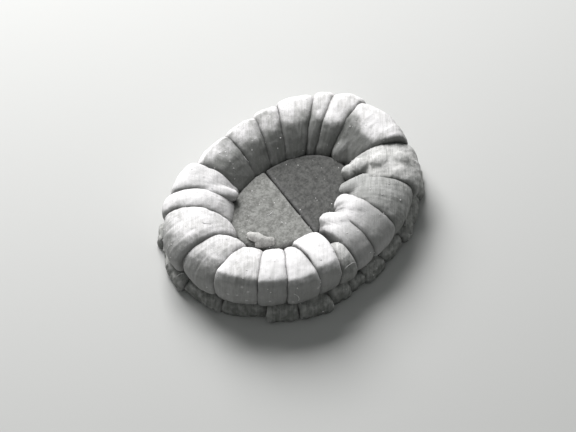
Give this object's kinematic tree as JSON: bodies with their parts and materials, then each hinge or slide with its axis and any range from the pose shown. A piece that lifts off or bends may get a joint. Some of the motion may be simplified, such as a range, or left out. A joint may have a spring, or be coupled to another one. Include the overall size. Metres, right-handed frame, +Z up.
{
  "type": "fossil coccolith",
  "caption": "Oval calcite coccolith plate, hugely enlarged: two stacked rings of plump crystals round a sunken floor of two plates. Rests flat as a display or scatter piece.",
  "frame": {"origin": "on the ground plane, under the middle of the bounding box", "axes": "+X along the plate's long axis, +Y across it, +Z up out of the basin"},
  "size_m": [0.0978, 0.0742, 0.0208],
  "materials": {
    "crown_calcite": "matte",
    "flange_calcite": "matte",
    "left_plate_calcite": "matte",
    "right_plate_calcite": "matte",
    "lath_calcite": "matte"
  },
  "bodies": {
    "root": {"crown_01": "crown_calcite", "crown_02": "crown_calcite", "crown_03": "crown_calcite", "crown_04": "crown_calcite", "crown_05": "crown_calcite", "crown_06": "crown_calcite", "crown_07": "crown_calcite", "crown_08": "crown_calcite", "crown_09": "crown_calcite", "crown_10": "crown_calcite", "crown_11": "crown_calcite", "crown_12": "crown_calcite", "crown_13": "crown_calcite", "crown_14": "crown_calcite", "crown_15": "crown_calcite", "crown_16": "crown_calcite", "crown_17": "crown_calcite", "crown_18": "crown_calcite", "crown_19": "crown_calcite", "crown_20": "crown_calcite", "flange_01": "flange_calcite", "flange_02": "flange_calcite", "flange_03": "flange_calcite", "flange_04": "flange_calcite", "flange_05": "flange_calcite", "flange_06": "flange_calcite", "flange_07": "flange_calcite", "flange_08": "flange_calcite", "flange_09": "flange_calcite", "flange_10": "flange_calcite", "flange_11": "flange_calcite", "flange_12": "flange_calcite", "flange_13": "flange_calcite", "flange_14": "flange_calcite", "flange_15": "flange_calcite", "flange_16": "flange_calcite", "flange_17": "flange_calcite", "flange_18": "flange_calcite", "flange_19": "flange_calcite", "flange_20": "flange_calcite", "plate_left": "left_plate_calcite", "plate_right": "right_plate_calcite", "lath": "lath_calcite"}
  },
  "joints": []
}
